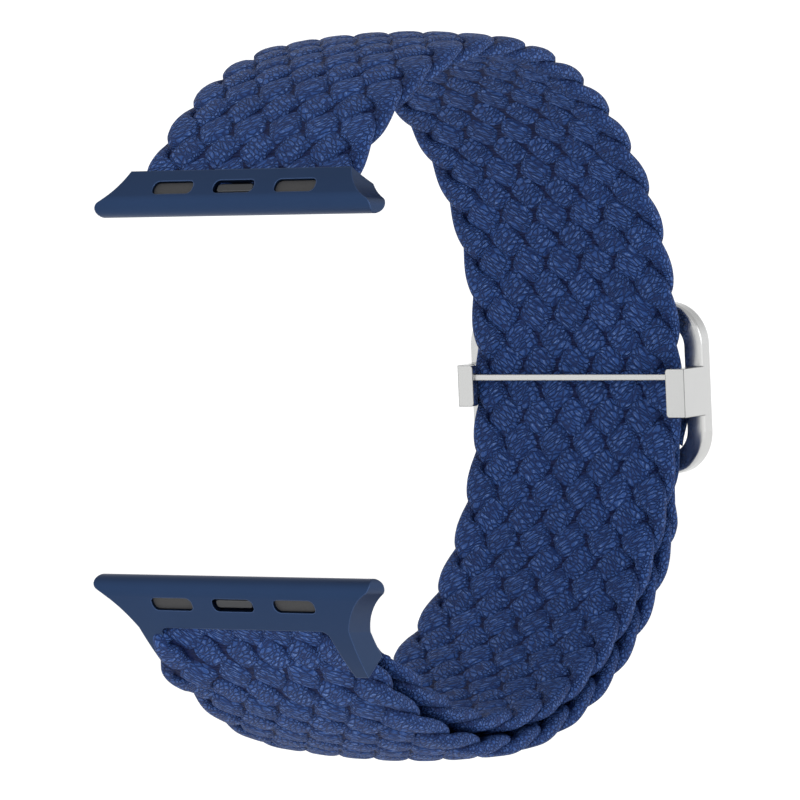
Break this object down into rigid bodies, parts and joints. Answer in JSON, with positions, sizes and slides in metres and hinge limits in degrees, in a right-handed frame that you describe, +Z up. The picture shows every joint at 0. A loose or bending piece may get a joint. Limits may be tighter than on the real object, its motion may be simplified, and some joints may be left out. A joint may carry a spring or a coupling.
{
  "type": "braided elastic watch strap",
  "caption": "Stretch braided watch strap closed into a loop, with a sprung metal connector at each end for a watch case and a friction buckle that sets the length",
  "frame": {"origin": "the middle of the watch case, half way between the two connector noses", "axes": "X along the strap's width, Y from the watch case to the buckle, Z up from the lower connector to the upper one"},
  "size_m": [0.032, 0.0639, 0.0691],
  "materials": {
    "braid": "blue textured yarn, flat braided",
    "pressed_fabric": "the same yarn, heat pressed flat",
    "navy_metal": "satin navy anodised",
    "pad_rubber": "matte",
    "catch_steel": "satin",
    "polished_steel": "polished stainless steel"
  },
  "bodies": {
    "lower_half": {"lower_connector": "navy_metal", "lower_left_pad": "pad_rubber", "lower_right_pad": "pad_rubber", "lower_catch_cover": "navy_metal", "lower_catch_spring": "catch_steel", "lower_rivets": "catch_steel", "lower_strap": "braid", "buckle_tab": "pressed_fabric"},
    "upper_half": {"upper_connector": "navy_metal", "upper_left_pad": "pad_rubber", "upper_right_pad": "pad_rubber", "upper_catch_cover": "navy_metal", "upper_catch_spring": "catch_steel", "upper_rivets": "catch_steel", "upper_strap": "braid", "tail_tip": "pressed_fabric"},
    "buckle": {"buckle_frame": "polished_steel", "front_bar": "polished_steel", "rear_bar": "polished_steel"},
    "lower_catch": {"lower_catch": "catch_steel"},
    "upper_catch": {"upper_catch": "catch_steel"}
  },
  "joints": [
    {"name": "length_adjust", "type": "hinge", "parent": "lower_half", "child": "upper_half", "pos_m": [0, 0.02615, 0.0013], "axis": [1, 0, 0], "range_deg": [0, 45]},
    {"name": "buckle_tilt", "type": "hinge", "parent": "lower_half", "child": "buckle", "pos_m": [0, 0.06135, 0.0004], "axis": [-1, 0, 0], "range_deg": [-2, 4]},
    {"name": "upper_catch_press", "type": "slide", "parent": "upper_half", "child": "upper_catch", "axis": [0, 0.8524, -0.5229], "range_m": [0, 0.0005], "stiffness_N_per_m": 300, "springref_m": -0.0005, "deforming": ["upper_catch_spring"]},
    {"name": "lower_catch_press", "type": "slide", "parent": "lower_half", "child": "lower_catch", "axis": [0, 0.8324, 0.5542], "range_m": [0, 0.0005], "stiffness_N_per_m": 300, "springref_m": -0.0005, "deforming": ["lower_catch_spring"]}
  ]
}
